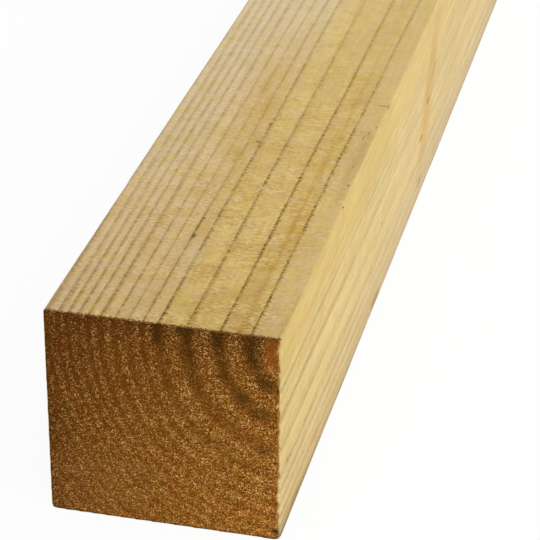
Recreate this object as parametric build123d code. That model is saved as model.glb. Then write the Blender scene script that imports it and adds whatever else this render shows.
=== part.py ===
from build123d import *
import os

# A sawn softwood beam, one piece of stock, lying on one of its long faces.
# The section is almost square, as sawn and then dried. The four long arrises are eased by handling,
# and the two ends are cut square, with only a fine break round each saw cut.
# Frame: X across the width, Y along the grain, Z up. The origin is under the middle of the beam,
# on the face that it lies on.

# Driving dimensions, in millimetres

# Stock length that this section is sold in
BEAM_LENGTH = 2400.0
# Width of the top and bottom faces
BEAM_WIDTH = 75.0
# Height of the side faces, a little less than the width after sawing and drying
BEAM_HEIGHT = 73.0
# Rounding of the four long arrises
ARRIS_RADIUS = 0.6
# Width of the fine bevel that the crosscut and handling leave round each end
END_BREAK = 0.3


def sawn_section():
    """The cross-section, standing on its lower edge, with its four corners eased."""
    with BuildSketch(Plane.XZ) as section:
        Rectangle(BEAM_WIDTH, BEAM_HEIGHT, align=(Align.CENTER, Align.MIN))
        fillet(section.vertices(), ARRIS_RADIUS)
    return section.sketch


def timber_beam():
    """The section run along the grain, half the length each way, with both cut ends broken."""
    section = sawn_section()
    with BuildPart() as beam:
        extrude(section, amount=BEAM_LENGTH / 2, both=True)
        cut_ends = beam.faces().filter_by(Axis.Y)
        chamfer(cut_ends.edges(), END_BREAK)
    return beam.part


os.makedirs("parts", exist_ok=True)
export_step(timber_beam(), "parts/timber_beam.step")
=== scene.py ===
# %% [markdown]
# # A sawn softwood beam
# This lesson dresses one length of sawn, treated softwood. The imported solid gives the size and place of the
# beam, and everything here is added round it: the growth rings, the relief of the saw, the torn end and the
# colours. We load the solid first and keep its box.

# %% Load the beam's solid
import math

import bmesh
import bpy
import numpy as np
from mathutils import Matrix, Vector
from mathutils.geometry import delaunay_2d_cdt


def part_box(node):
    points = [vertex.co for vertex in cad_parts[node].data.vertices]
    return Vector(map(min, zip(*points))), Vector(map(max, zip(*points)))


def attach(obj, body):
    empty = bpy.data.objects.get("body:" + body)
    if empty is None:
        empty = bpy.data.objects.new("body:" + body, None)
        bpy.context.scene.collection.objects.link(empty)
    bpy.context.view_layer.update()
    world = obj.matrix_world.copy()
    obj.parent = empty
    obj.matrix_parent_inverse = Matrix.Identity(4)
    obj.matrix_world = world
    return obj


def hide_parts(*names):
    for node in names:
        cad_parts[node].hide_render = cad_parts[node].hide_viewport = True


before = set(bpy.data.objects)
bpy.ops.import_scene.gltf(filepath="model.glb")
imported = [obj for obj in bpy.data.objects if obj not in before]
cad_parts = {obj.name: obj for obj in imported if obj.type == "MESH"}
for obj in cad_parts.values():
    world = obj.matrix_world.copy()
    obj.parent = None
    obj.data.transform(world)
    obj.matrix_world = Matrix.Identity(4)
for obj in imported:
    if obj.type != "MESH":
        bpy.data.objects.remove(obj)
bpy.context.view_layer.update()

MM = 0.001
LOW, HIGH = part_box("timber_beam")
WIDTH, LENGTH, HEIGHT = ((HIGH[i] - LOW[i]) / MM for i in range(3))
print(f"beam {WIDTH:.1f} x {HEIGHT:.1f} mm, {LENGTH:.0f} mm long")

# %% [markdown]
# ## The camera
# The photo looks down on the near end with a long lens. The place and angles below came from fitting the
# straight edges of the beam, so they are real distances from the foot of the near end. A camera could also be
# aimed with a Track To constraint, but a small roll can't be given that way, so we multiply three rotations.

# %% Place the camera
LENS_MM = 151.14
SENSOR_MM = 36.0
CAMERA_FROM_NEAR_END_MM = Vector((167.31, -570.01, 415.24))
AZIMUTH, ELEVATION, ROLL = (math.radians(angle) for angle in (13.194, 28.589, 0.439))

near_foot = Vector((0, LOW[1], LOW[2]))
turn = Matrix.Rotation(AZIMUTH, 4, "Z")
tilt = Matrix.Rotation(math.pi / 2 - ELEVATION, 4, "X")
roll = Matrix.Rotation(ROLL, 4, "Z")
camera = bpy.data.objects.new("photo_camera", bpy.data.cameras.new("photo_camera"))
camera.data.lens = LENS_MM
camera.data.sensor_width = SENSOR_MM
camera.matrix_world = Matrix.Translation(near_foot + CAMERA_FROM_NEAR_END_MM * MM) @ turn @ tilt @ roll
bpy.context.scene.collection.objects.link(camera)
bpy.context.scene.camera = camera
print("camera at", [round(v, 3) for v in camera.location])

# %% [markdown]
# ## The tree inside the beam
# A sawn beam is a straight cut through a log, so the arcs on its end and the lines on its faces are the same
# rings. They could be painted face by face, but they would not meet at the edges. Here the pith, the middle
# of the tree, runs just outside the right face, a little below its upper arris. Along the beam it moves away
# and sinks, and the rings spread. Each ring is a distance from it. Every point of the mesh gets its ring
# count, which both the relief and the colours read later, and with it how dark and wide the late wood is
# there and how much ochre the wood drew from the treatment.

# %% Rings and ochre by their distance from the pith
PITH_X, PITH_Z = WIDTH / 2 + 2.3, HEIGHT - 4.6
PITH_SHIFT = 4.2
RINGS = [
    # outer radius in millimetres, darkness of the late wood, how far it fades towards the pith on a face
    (0.0, 0.10, 1.0),
    (5.4, 0.10, 1.0),
    (12.6, 0.80, 0.8),
    (21.9, 0.95, 1.4),
    (32.4, 0.63, 2.3),
    (41.3, 0.88, 1.2),
    (45.9, 0.90, 1.0),
    (50.4, 0.64, 0.7),
    (54.6, 0.73, 1.3),
    (59.3, 0.77, 2.4),
    (63.0, 0.78, 1.0),
    (66.25, 0.80, 1.6),
    (69.5, 0.71, 2.0),
    (72.6, 0.62, 2.4),
    (76.4, 0.62, 2.5),
]
OUTER_RING = (3.2, 0.65, 1.6)
OCHRE = [
    # radius in millimetres, share of ochre
    (4.0, 0.25),
    (12.4, 0.40),
    (13.2, 0.75),
    (14.6, 0.80),
    (15.6, 1.00),
    (16.7, 1.00),
    (17.8, 0.72),
    (21.5, 0.60),
    (31.5, 0.56),
    (38.0, 0.58),
    (42.5, 0.38),
    (46.8, 0.42),
    (52.6, 0.40),
    (59.5, 0.35),
    (69.5, 0.15),
]

furthest = math.hypot(PITH_X + PITH_SHIFT + WIDTH / 2, PITH_Z)
while RINGS[-1][0] < furthest + OUTER_RING[0]:
    RINGS.append((RINGS[-1][0] + OUTER_RING[0], OUTER_RING[1], OUTER_RING[2]))
ring_radii, ring_darkness, ring_line = np.array(RINGS).T
ring_middles = (ring_radii[1:] + ring_radii[:-1]) / 2
ochre_radii, ochre_shares = np.array(OCHRE).T
print(len(ring_radii), "rings, out to", round(float(ring_radii[-1]), 1), "mm from the pith")

# %% Growth rings at any point
PITH_DROP, SPREAD, PITH_ALONG = 14.0, 0.14, 590.0
SWAY_X, SWAY_Z = 0.1, 0.2
SWAY_LENGTH_X, SWAY_LENGTH_Z = 23.0, 31.0
OVAL = 0.914
# The rings bulge over one stretch, and above the pith the inner ones lean
BULGE, BULGE_RADIUS, BULGE_REACH = 0.7, 47.0, 6.0
BULGE_MIDDLE, BULGE_LENGTH = 120.0, 45.0
INNER_LEAN, LEAN_RADIUS, LEAN_REACH = 0.95, 13.0, 9.0
LEAN_ALONG, LEAN_ABOVE = 95.0, 3.0


def growth_rings(x, y, z):
    """What the rings give at points in millimetres. The pith sinks along the tree, and the rings spread."""
    gone = 1 - np.exp(-y / PITH_ALONG)
    from_x = x - PITH_X - PITH_SHIFT * gone - SWAY_X * np.sin(y / SWAY_LENGTH_X)
    from_z = z - PITH_Z + PITH_DROP * gone - SWAY_Z * np.sin(y / SWAY_LENGTH_Z)
    radius = np.hypot(from_x, OVAL * from_z) / (1 + SPREAD * gone)
    bulge_along = ((y - BULGE_MIDDLE) / BULGE_LENGTH) ** 2
    radius = radius + BULGE * np.exp(-((radius - BULGE_RADIUS) / BULGE_REACH) ** 2 - bulge_along)
    lean = INNER_LEAN * (1 - np.exp(-((y / LEAN_ALONG) ** 2))) * np.clip(from_z / LEAN_ABOVE, 0, 1)
    radius = radius - lean * np.exp(-(((radius - LEAN_RADIUS) / LEAN_REACH) ** 2))
    return {
        "ring_count": np.interp(radius, ring_radii, np.arange(len(ring_radii))),
        "ring_width": np.interp(radius, ring_middles, np.diff(ring_radii)),
        "ring_darkness": np.interp(radius, ring_radii, ring_darkness),
        "ring_line": np.interp(radius, ring_radii, ring_line),
        "ring_ochre": np.interp(radius, ochre_radii, ochre_shares),
    }


corner_ring = growth_rings(np.array([-WIDTH / 2]), np.zeros(1), np.zeros(1))["ring_count"][0]
print("the lower left corner of the near end lies in ring", int(corner_ring))

# %% [markdown]
# ## The outline of the section
# The section is a rectangle with eased corners. A bevel modifier on a box would do for the shape alone, but
# we want to choose the spacing of the points: fine round the arrises and at the cut ends, where fibres tear,
# and coarser between. So the outline is a list of points, each with the direction that faces outwards.

# %% Points round the section
ARRIS_RADIUS = 0.6
ARC_STEPS, FACE_STEPS = 12, 246
FINE_TO_COARSE = 3


def section_outline():
    """Points and outward directions round the section, anticlockwise as seen from the near end."""
    points, outward = [], []
    for corner, (side_x, side_z) in enumerate(((1, -1), (1, 1), (-1, 1), (-1, -1))):
        centre_x = side_x * (WIDTH / 2 - ARRIS_RADIUS)
        centre_z = HEIGHT / 2 + side_z * (HEIGHT / 2 - ARRIS_RADIUS)
        for step in range(ARC_STEPS + 1):
            angle = math.pi / 2 * (corner - 1 + step / ARC_STEPS)
            direction = np.array([math.cos(angle), math.sin(angle)])
            points.append(np.array([centre_x, centre_z]) + ARRIS_RADIUS * direction)
            outward.append(direction)
        face_start = points[-1]
        face_way = np.array([-direction[1], direction[0]])
        face_length = (HEIGHT if corner % 2 == 0 else WIDTH) - 2 * ARRIS_RADIUS
        for step in range(1, FACE_STEPS - ARC_STEPS):
            points.append(face_start + face_way * face_length * step / (FACE_STEPS - ARC_STEPS))
            outward.append(direction)
    return np.array(points), np.array(outward)


outline, outward = section_outline()
rounding = (1 - np.abs(outward).max(1)) / (1 - math.sqrt(0.5))
coarse = np.arange(0, len(outline), FINE_TO_COARSE)
print(len(outline), "points round the ends,", len(coarse), "along the faces")

# %% [markdown]
# ## Unevenness
# Nothing on rough timber repeats, so the relief needs a smooth random field. Blender's own noise works inside
# modifiers and materials, but here we move the points ourselves, so a small lattice of random heights is
# blended in between. The seed is fixed, so the beam comes out the same each time.

# %% A smooth random field
FIELD_SEED, FIELD_SIZE = 12, 256
FIELD_START = 1000
LAYER_SHIFT_U, LAYER_SHIFT_V = 17.3, 41.7
LATTICE = np.random.default_rng(FIELD_SEED).random((FIELD_SIZE, FIELD_SIZE))


def uneven(u, v, layer=0):
    """Smooth random heights from 0 to 1, about one hump a unit of u and v. A layer gives another field."""
    u = u + LAYER_SHIFT_U * layer + FIELD_START
    v = v + LAYER_SHIFT_V * layer + FIELD_START
    i, j = np.floor(u).astype(int), np.floor(v).astype(int)
    s, t = u - i, v - j
    s, t = s * s * (3 - 2 * s), t * t * (3 - 2 * t)
    corner = [[LATTICE[(i + a) % FIELD_SIZE, (j + b) % FIELD_SIZE] for b in (0, 1)] for a in (0, 1)]
    near = corner[0][0] * (1 - t) + corner[0][1] * t
    far = corner[1][0] * (1 - t) + corner[1][1] * t
    return near * (1 - s) + far * s


print("field from", round(float(LATTICE.min()), 3), "to", round(float(LATTICE.max()), 3))

# %% [markdown]
# ## Relief on the long faces
# Late wood is harder than early wood, so each ring stands a little proud where its dark line meets the face,
# most on the rough top and underside. The arrises are knocked here and there. All heights are in millimetres
# and stay far inside the allowance round the solid.

# %% Height of the long faces
RIDGE_ROUGH, RIDGE_FINE = 0.16, 0.07
RIDGE_POWER, RIDGE_MIDDLE = 3, 0.6
ROUGH_RISE, ROUGH_START = 1.6, 0.4
SAW_WAVE, SAW_WAVE_ACROSS, SAW_WAVE_ALONG = 0.05, 40.0, 6.0
ARRIS_WEAR, WEAR_ALONG = 0.3, 9.0
WEAR_APART, WEAR_LAYER = 7.1, 2
KNOCK_FALL = 2
KNOCKS = [
    # across, from the near end, up, radius, depth
    (WIDTH / 2, 172.5, HEIGHT, 1.6, 0.45),
    (WIDTH / 2 - 1.4, 0.0, 2.8, 1.5, 0.8),
    (WIDTH / 2, 0.0, 0.0, 1.6, 0.6),
    (-WIDTH / 2, 0.0, 0.0, 1.8, 0.5),
]


def rough_share(direction):
    """1 on the rough top and underside, 0 on the finer sides, in between on the arrises."""
    return np.clip(np.abs(direction[:, 1]) * ROUGH_RISE - ROUGH_START, 0, 1)


def knocked(x, y, z):
    """Depth of the small dents at points in millimetres."""
    depth = np.zeros(len(x))
    for across, along, up, radius, most in KNOCKS:
        distance = ((x - across) ** 2 + (y - along) ** 2 + (z - up) ** 2) / radius**2
        depth = np.maximum(depth, most * np.exp(-KNOCK_FALL * distance))
    return depth


def face_height(x, y, z, chosen):
    """How far a point of a long face stands out from the plain section, in millimetres."""
    rough = rough_share(outward[chosen])
    late = (growth_rings(x, y, z)["ring_count"] % 1) ** RIDGE_POWER
    ridge = (RIDGE_FINE + (RIDGE_ROUGH - RIDGE_FINE) * rough) * (late - RIDGE_MIDDLE)
    wave = uneven(x / SAW_WAVE_ACROSS + z / SAW_WAVE_ACROSS, y / SAW_WAVE_ALONG)
    wave = SAW_WAVE * (wave - 0.5)
    side = np.sign(x) + 3 * np.sign(z - HEIGHT / 2)
    wear = ARRIS_WEAR * rounding[chosen] * uneven(side * WEAR_APART, y / WEAR_ALONG, WEAR_LAYER) ** 2
    return ridge + wave - wear - knocked(x, y, z)


print("ridges up to", RIDGE_ROUGH, "mm high on the rough faces,", len(KNOCKS), "knocks")

# %% [markdown]
# ## Rows of points along the grain
# The camera sees the first half metre from close by, so the rows start a few millimetres apart there and
# spread out along the rest. Close to each cut the outline has three times as many points, for the torn edge,
# and one row of narrow faces leads from the fine outline to the coarse one.

# %% Where the rows lie
FINE_ROWS = [0.0, 0.12, 0.3, 0.55, 0.9, 1.4, 2.0]
FIRST_COARSE_ROW = 2.8
ROW_SPACING, ROW_GROWTH = 2.4, 1.0195
FAR_GROWTH = 1.3


def coarse_rows():
    """Distances from the near end, growing from the near end and, faster, from the far end."""
    near, far = [FIRST_COARSE_ROW], [LENGTH - FIRST_COARSE_ROW]
    near_step = far_step = ROW_SPACING
    while near[-1] + near_step < far[-1]:
        if far_step < near_step:
            far.append(far[-1] - far_step)
            far_step *= FAR_GROWTH
        else:
            near.append(near[-1] + near_step)
            near_step *= ROW_GROWTH
    return np.array(near + far[::-1])


rows = coarse_rows()
print(len(rows), "coarse rows,", 2 * len(FINE_ROWS), "fine rows")

# %% [markdown]
# ## The torn edge round each cut
# A crosscut leaves the edges of the end in different states: fibres break off along the top edge, the right
# edge is softly crushed in waves, and the other two are crisp. Each point of the fine outline gets its own
# small break, and the first rows curl in by that much.

# %% Break of the cut edge
BREAK_LEAST = 0.1
TORN_TOP, TORN_OTHER = 0.55, 0.12
TORN_SPACING, TORN_LAYER = 0.5, 5
CRUSHED_LEAST, CRUSHED_MOST, CRUSHED_POWER = 0.25, 0.95, 1.5
CRUSHED_SPACING, CRUSHED_LAYER = 2.2, 6
CORNER_SPARED = 0.4


def edge_break(end):
    """Width of the broken edge at each point of the fine outline, in millimetres."""
    around = np.arange(len(outline)) * (WIDTH + HEIGHT) * 2 / len(outline)
    line = np.full(len(outline), float(end))
    top = np.clip(outward[:, 1], 0, 1)
    torn_stain_and_shade = (TORN_OTHER + (TORN_TOP - TORN_OTHER) * top) * uneven(around / TORN_SPACING, line, TORN_LAYER) ** 2
    crushed = uneven(around / CRUSHED_SPACING, line, CRUSHED_LAYER) ** CRUSHED_POWER
    crushed = CRUSHED_LEAST + (CRUSHED_MOST - CRUSHED_LEAST) * crushed
    crushed = crushed * np.clip(outward[:, 0], 0, 1)
    return (BREAK_LEAST + torn_stain_and_shade + crushed) * (1 - CORNER_SPARED * rounding)


print("near edge broken by", edge_break(0).min().round(2), "to", edge_break(0).max().round(2), "mm")

# %% One ring of points
ARRIS_DEEPEST, FACE_SLOPE, FACE_REACH = 0.7 * ARRIS_RADIUS, 0.7, 2


def deepest(chosen):
    """How far in a point may go before the two faces of an arris would cross, in millimetres."""
    from_side = WIDTH / 2 - np.abs(outline[chosen, 0])
    from_level = HEIGHT / 2 - np.abs(outline[chosen, 1] - HEIGHT / 2)
    from_arris = np.maximum(from_side, from_level) - ARRIS_RADIUS
    return ARRIS_DEEPEST + FACE_SLOPE * np.clip(from_arris, 0, FACE_REACH)


def ring_of_points(along, chosen, breaks=None, from_end=0.0):
    """One ring of points, in millimetres, along the beam from the near end."""
    x, z, direction = outline[chosen, 0], outline[chosen, 1], outward[chosen]
    y = np.full(len(chosen), along)
    out = face_height(x, y, z, chosen)
    if breaks is not None:
        share = np.clip(from_end / breaks, 0, 1)
        out = out - breaks * (1 - np.sqrt(1 - (1 - share) ** 2))
    out = np.maximum(out, -deepest(chosen))
    return np.column_stack([x + out * direction[:, 0], y, z + out * direction[:, 1]])


print("no point goes deeper than", round(ARRIS_DEEPEST + FACE_SLOPE * FACE_REACH, 2), "mm")

# %% [markdown]
# ## The cut ends
# Sawn end grain is a field of broken fibre bundles. A flat face with bump would lose it from the side, so
# the end is filled with scattered points, joined by a Delaunay mesh, each at its own small depth.

# %% Fill an end with scattered points
END_SPACING, END_JITTER, END_MARGIN = 0.95, 0.4, 1.8
END_LEAST, END_ROUGHNESS, END_EARLY = 0.02, 0.16, 0.1
END_WAVE, END_WAVE_SPACING, END_LAYER = 0.12, 6, 3
POINT_SEED, DEPTH_SEED = 40, 50
WITHIN_RIM, NEAREST_POINTS = 1, 1e-7


def end_points(seed):
    """Scattered points inside a cut end, with a clear margin to its edge."""
    random = np.random.default_rng(seed)
    across = np.arange(-WIDTH / 2 + END_MARGIN, WIDTH / 2 - END_MARGIN, END_SPACING)
    up = np.arange(END_MARGIN, HEIGHT - END_MARGIN, END_SPACING)
    grid = np.array(np.meshgrid(across, up)).reshape(2, -1).T
    return grid + random.uniform(-END_JITTER, END_JITTER, grid.shape) * END_SPACING


def end_depth(x, z, seed):
    """How deep the cut goes at points of an end, in millimetres, from the plane of the end."""
    early = 1 - (growth_rings(x, np.zeros(len(x)), z)["ring_count"] % 1) ** 2
    fibre = END_ROUGHNESS * np.random.default_rng(seed).random(len(x))
    wave = END_WAVE * uneven(x / END_WAVE_SPACING, z / END_WAVE_SPACING, END_LAYER)
    return END_LEAST + fibre + wave + END_EARLY * early + knocked(x, 0 * x, z)


def fill_end(edge, inner):
    """Triangles over an end, between the points of its edge, in order, and then the inner points."""
    flat = np.vstack([edge[:, [0, 2]], inner])
    rim = [list(range(len(edge)))]
    filled = delaunay_2d_cdt([Vector(p) for p in flat], [], rim, WITHIN_RIM, NEAREST_POINTS, True)
    _, _, triangles, point_sources, _, face_sources = filled
    source = [origin[0] for origin in point_sources]
    return [[source[v] for v in triangle] for triangle, inside in zip(triangles, face_sources) if inside]


print(len(end_points(POINT_SEED)), "points inside the near end")

# %% [markdown]
# ## One closed mesh
# Now the rings and the two ends are joined. A Skin modifier would hide the numbering of the points, but here
# we need it: every face knows which side of the beam it lies on, and takes that side's finish.

# %% Faces between two rings
def quads(first, second):
    """Faces between two rings of the same number of points."""
    after = np.roll(np.arange(len(first)), -1)
    return np.column_stack([first, first[after], second[after], second]).tolist()


def narrowing(fine, rough):
    """Faces between a fine ring and a coarse one, three fine steps to a coarse step."""
    faces = []
    for step in range(len(rough)):
        a, b, c, d = (fine[(FINE_TO_COARSE * step + k) % len(fine)] for k in range(FINE_TO_COARSE + 1))
        here, after = rough[step], rough[(step + 1) % len(rough)]
        faces += [[a, b, here], [b, c, after, here], [c, d, after]]
    return faces


print(len(outline), "fine steps lead to", len(coarse), "coarse ones")

# %% Both ends with their fine rows
END_CURL, CURL_SPACING, CURL_LAYER = 0.3, 0.6, 8
points, outline_numbers, faces, end_faces = [], [], [], []


def keep(new_points, numbers):
    """Adds points with their numbers on the outline, and returns their numbers in the mesh."""
    first = sum(len(kept) for kept in points)
    points.append(new_points)
    outline_numbers.append(numbers)
    return np.arange(first, first + len(new_points))


fine = np.arange(len(outline))
last_fine_rings = []
for end, inward in enumerate((1, -1)):
    breaks = edge_break(end)
    fine_rings = []
    for row in FINE_ROWS:
        ring = ring_of_points(row if end == 0 else LENGTH - row, fine, breaks, row)
        if row == 0:
            curl = uneven(ring[:, 0] / CURL_SPACING, ring[:, 2] / CURL_SPACING, CURL_LAYER + end)
            ring[:, 1] += inward * END_CURL * curl
            edge = ring
        fine_rings.append(keep(ring, fine))
    inner = end_points(POINT_SEED + end)
    depth = end_depth(inner[:, 0], inner[:, 1], DEPTH_SEED + end)
    along = depth if end == 0 else LENGTH - depth
    inside = keep(np.column_stack([inner[:, 0], along, inner[:, 1]]), np.full(len(inner), -1))
    numbers = np.concatenate([fine_rings[0], inside])
    end_faces += [[int(numbers[v]) for v in triangle] for triangle in fill_end(edge, inner)]
    for first, second in zip(fine_rings[:-1], fine_rings[1:]):
        faces += quads(first, second)
    last_fine_rings.append(fine_rings[-1])
print(len(end_faces), "triangles on the two ends")

# %% The length between the ends
coarse_rings = [keep(ring_of_points(along, coarse), coarse) for along in rows]
for first, second in zip(coarse_rings[:-1], coarse_rings[1:]):
    faces += quads(first, second)
faces += narrowing(last_fine_rings[0], coarse_rings[0])
faces += narrowing(last_fine_rings[1], coarse_rings[-1])

millimetres = np.vstack(points)
metres = millimetres * MM + np.array([0, LOW[1], LOW[2]])
mesh = bpy.data.meshes.new("sawn_beam")
mesh.from_pydata(metres.tolist(), [], faces + end_faces)
beam = bpy.data.objects.new("sawn_beam", mesh)
bpy.context.scene.collection.objects.link(beam)
print(len(faces), "faces along the length")

# %% Turn all faces outwards
shell = bmesh.new()
shell.from_mesh(mesh)
bmesh.ops.recalc_face_normals(shell, faces=shell.faces)
open_edges = sum(not edge.is_manifold for edge in shell.edges)
triangle_count = sum(len(face.verts) - 2 for face in shell.faces)
shell.to_mesh(mesh)
shell.free()
print(len(mesh.vertices), "points,", triangle_count, "triangles,", open_edges, "open edges")

# %% Store the rings on the points
SHARP_EDGE = math.radians(50)
stored_values = growth_rings(*millimetres.T)
stored_values["nick_depth"] = knocked(*millimetres.T)
for name, values in stored_values.items():
    stored = mesh.attributes.new(name, "FLOAT", "POINT")
    stored.data.foreach_set("value", values.astype(np.float32))
    print(name, round(float(values.min()), 2), "to", round(float(values.max()), 2))
mesh.shade_smooth()
mesh.set_sharp_from_angle(angle=SHARP_EDGE)

# %% [markdown]
# ## Which side a face lies on, and a flat plan
# The four sides meet in the middle of the arrises. The top and underside left the saw rough, the two sides
# are finer, and the ends show end grain. The finishes need no flat plan (a UV map), but a model that leaves
# Blender carries its colours as a picture. Smart UV Project would squeeze the whole length into it evenly, so
# here the near half metre and the near end get more room, and the rest is cut into shorter strips.

# %% Sort the faces by side
corner_points = np.empty(len(mesh.loops), np.int32)
mesh.loops.foreach_get("vertex_index", corner_points)
corner_counts = np.empty(len(mesh.polygons), np.int32)
mesh.polygons.foreach_get("loop_total", corner_counts)
corner_faces = np.repeat(np.arange(len(mesh.polygons)), corner_counts)
face_starts = np.cumsum(corner_counts) - corner_counts

around = np.concatenate(outline_numbers)[corner_points].astype(float)
lowest = np.minimum.reduceat(around, face_starts)[corner_faces]
highest = np.maximum.reduceat(around, face_starts)[corner_faces]
around[(highest - lowest > len(outline) / 2) & (around < len(outline) / 2)] += len(outline)
around -= ARC_STEPS / 2
middle_around = np.add.reduceat(around, face_starts) / corner_counts
middle_along = np.add.reduceat(millimetres[corner_points, 1], face_starts) / corner_counts

SIDES = ["right", "top", "left", "underside"]
side_of_face = np.floor(middle_around / FACE_STEPS).astype(int) % len(SIDES)
is_end = np.arange(len(mesh.polygons)) >= len(faces)
ROUGH, FINE, END = 0, 1, 2
finish_of_face = np.where(is_end, END, np.where(side_of_face % 2 == 1, ROUGH, FINE))
mesh.polygons.foreach_set("material_index", finish_of_face.astype(np.int32))
print({side: int(np.sum((side_of_face == k) & ~is_end)) for k, side in enumerate(SIDES)}, "faces")

# %% Lay the faces out flat
STRETCH = 480.0
STRETCHES = math.ceil(LENGTH / STRETCH)
GAP = 0.005
NEAR_STRIPS = {"top": (0.005, 0.24), "right": (0.25, 0.2), "left": (0.455, 0.12), "underside": (0.58, 0.115)}
NEAR_END_PLACE, FAR_END_PLACE = (0.705, 0.505, 0.29), (0.705, 0.805, 0.19)
NEAR_LOW, NEAR_HIGH = 0.505, 0.49
FAR_COLUMNS, FAR_ROWS = 8, 4

plan = np.zeros((len(mesh.loops), 2))
stretch_of_face = np.clip(middle_along // STRETCH, 0, STRETCHES - 1).astype(int)
for k, side in enumerate(SIDES):
    for stretch in range(STRETCHES):
        here = ((side_of_face == k) & (stretch_of_face == stretch) & ~is_end)[corner_faces]
        if stretch == 0:
            left, wide = NEAR_STRIPS[side]
            low, high = NEAR_LOW, NEAR_HIGH
        else:
            strip = k * (STRETCHES - 1) + stretch - 1
            left, wide = strip % FAR_COLUMNS / FAR_COLUMNS + GAP, 1 / FAR_COLUMNS - 2 * GAP
            low, high = strip // FAR_COLUMNS / FAR_ROWS + GAP, 1 / FAR_ROWS - 2 * GAP
        across = (around[here] / FACE_STEPS - k) % len(SIDES)
        across = np.where(across > len(SIDES) / 2, 0, across)
        along = millimetres[corner_points[here], 1] / STRETCH - stretch
        plan[here] = np.column_stack([left + wide * across, low + high * along])
for far, (left, low, wide) in enumerate((NEAR_END_PLACE, FAR_END_PLACE)):
    here = (is_end & ((middle_along > LENGTH / 2) == far))[corner_faces]
    x, y, z = millimetres[corner_points[here]].T
    plan[here] = np.column_stack([left + wide * (x / WIDTH + 0.5), low + wide * z / HEIGHT])
flat_plan = mesh.uv_layers.new(name="OFBake")
flat_plan.uv.foreach_set("vector", plan.ravel().astype(np.float32))
print("plan from", plan.min(0).round(3), "to", plan.max(0).round(3))

# %% [markdown]
# ## Helpers for the finishes
# Colours are written as the hex values that a screen shows, and one function turns them into the linear
# light that Blender mixes. One more function adds a node: its options are named, and each input takes a value
# or a link. All finishes read the same things: the place of a point, its ring, and uneven patterns with real
# sizes in millimetres. From these a finish takes shares, such as how near the cut end a point lies, so one
# function starts a finish with all of them.

# %% Colour and node helpers
def linear(code, alpha=1.0):
    """A hex colour as linear red, green and blue."""
    parts = [int(code[i:i + 2], 16) / 255 for i in (0, 2, 4)]
    return [p / 12.92 if p <= 0.04045 else ((p + 0.055) / 1.055) ** 2.4 for p in parts] + [alpha]


def node(tree, kind, inputs=None, out=0, **options):
    """Adds a node, sets its options, fills its inputs with values or links, and returns one output.

    The kind is what follows ShaderNode in the name of its type.
    """
    made = tree.nodes.new("ShaderNode" + kind)
    for name, value in options.items():
        setattr(made, name, value)
    for socket, value in (inputs or {}).items():
        if isinstance(value, bpy.types.NodeSocket):
            tree.links.new(value, made.inputs[socket])
        else:
            made.inputs[socket].default_value = value
    return made.outputs[out] if len(made.outputs) else made


print("pale tan in linear light:", [round(v, 3) for v in linear("d2b988")[:3]])

# %% The start of a wood finish
PATTERN_SHIFT = 7.1


def ring_distances(tree, read, ragged_mm):
    """The phase within a ring, and the distances in millimetres to its outer and to its inner edge."""
    sway = node(tree, "Math", {0: read["ragged"], 1: 2 * ragged_mm, 2: -ragged_mm}, operation="MULTIPLY_ADD")
    sway = node(tree, "Math", {0: sway, 1: read["ring_width"]}, operation="DIVIDE")
    swayed = node(tree, "Math", {0: read["ring_count"], 1: sway}, operation="ADD")
    phase = node(tree, "Math", {0: swayed}, operation="FRACT")
    rest = node(tree, "Math", {0: 1.0, 1: phase}, operation="SUBTRACT")
    inside = node(tree, "Math", {0: rest, 1: read["ring_width"]}, operation="MULTIPLY")
    outside = node(tree, "Math", {0: phase, 1: read["ring_width"]}, operation="MULTIPLY")
    return {"phase": phase, "inside": inside, "outside": outside}


def start_finish(name, patterns_mm, ragged_mm, shares):
    """A new material with what a finish reads.

    A pattern gives millimetres across, along and up, and its detail. A share gives what is read, the two
    ends of its range, and what they become, or else 0 and 1.
    """
    material = bpy.data.materials.new(name)
    material.use_nodes = True
    tree = material.node_tree
    tree.nodes.clear()
    place = node(tree, "TexCoord", out="Object")
    read = {"place": place}
    for value in stored_values:
        read[value] = node(tree, "Attribute", out="Fac", attribute_name=value)
    for axis in "XYZ":
        read[axis] = node(tree, "SeparateXYZ", {0: place}, out=axis)
    half_way = node(tree, "Math", {0: read["Y"]}, operation="ABSOLUTE")
    read["from_end"] = node(tree, "Math", {0: LENGTH / 2 * MM, 1: half_way}, operation="SUBTRACT")
    for index, (pattern, (across, along, up, detail)) in enumerate(patterns_mm.items()):
        scale = [1 / (size * MM) for size in (across, along, up)]
        scaled = node(tree, "VectorMath", {0: place, 1: scale}, operation="MULTIPLY")
        moved = node(tree, "VectorMath", {0: scaled, 1: [PATTERN_SHIFT * index] * 3})
        read[pattern] = node(tree, "TexNoise", {"Vector": moved, "Scale": 1.0, "Detail": detail})
    read.update(ring_distances(tree, read, ragged_mm))
    for share, (source, *limits) in shares.items():
        read[share] = node(tree, "MapRange", {0: read[source], **dict(enumerate(limits, 1))})
    return material, tree, read


print("a finish reads", ", ".join(stored_values))

# %% Marks over a finish
MARK_RAGGED = 0.8
MARK_GONE, MARK_FULL = 1.4, 0.7


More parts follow.
